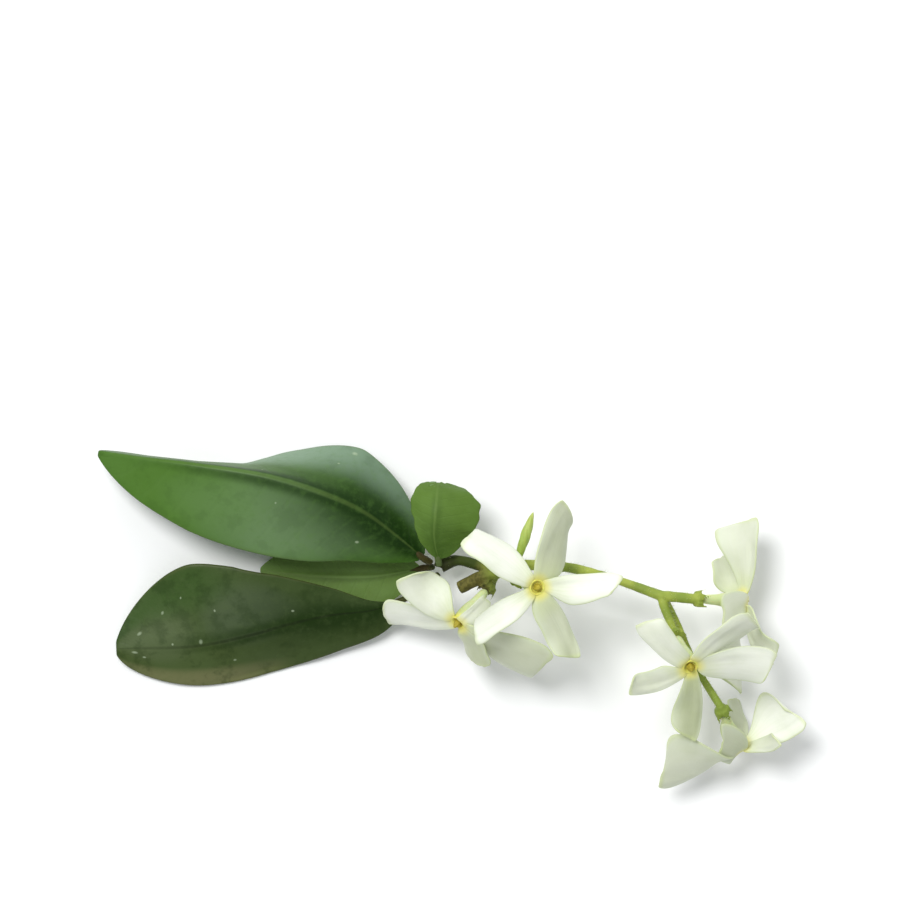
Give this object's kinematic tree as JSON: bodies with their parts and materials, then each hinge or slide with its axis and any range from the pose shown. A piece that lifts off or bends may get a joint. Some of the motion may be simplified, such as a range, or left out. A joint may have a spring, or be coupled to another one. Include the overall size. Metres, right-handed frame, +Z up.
{
  "type": "star jasmine sprig",
  "caption": "Cut sprig of star jasmine lying on its side: glossy leathery leaves at one end of a thin twig and a loose cluster of white pinwheel blooms and a bud at the other.",
  "frame": {"origin": "centre of the bounding box on the surface that the sprig lies on", "axes": "+X from the leaves to the blooms, +Z up from the surface"},
  "size_m": [0.1114, 0.0544, 0.025],
  "materials": {
    "stalk": "satin",
    "bud": "matte",
    "leaf": "satin",
    "leaf_dark": "satin",
    "petal": "matte",
    "anther": "matte"
  },
  "bodies": {
    "root": {"stem": "stalk", "leaf_upper": "leaf", "leaf_lower": "leaf_dark", "leaf_behind": "leaf", "leaf_small": "leaf", "flower_centre": "petal", "anthers_centre": "anther", "flower_lower": "petal", "anthers_lower": "anther", "flower_right": "petal", "anthers_right": "anther", "flower_top": "petal", "anthers_top": "anther", "flower_bottom": "petal", "anthers_bottom": "anther", "bud": "bud"}
  },
  "joints": []
}
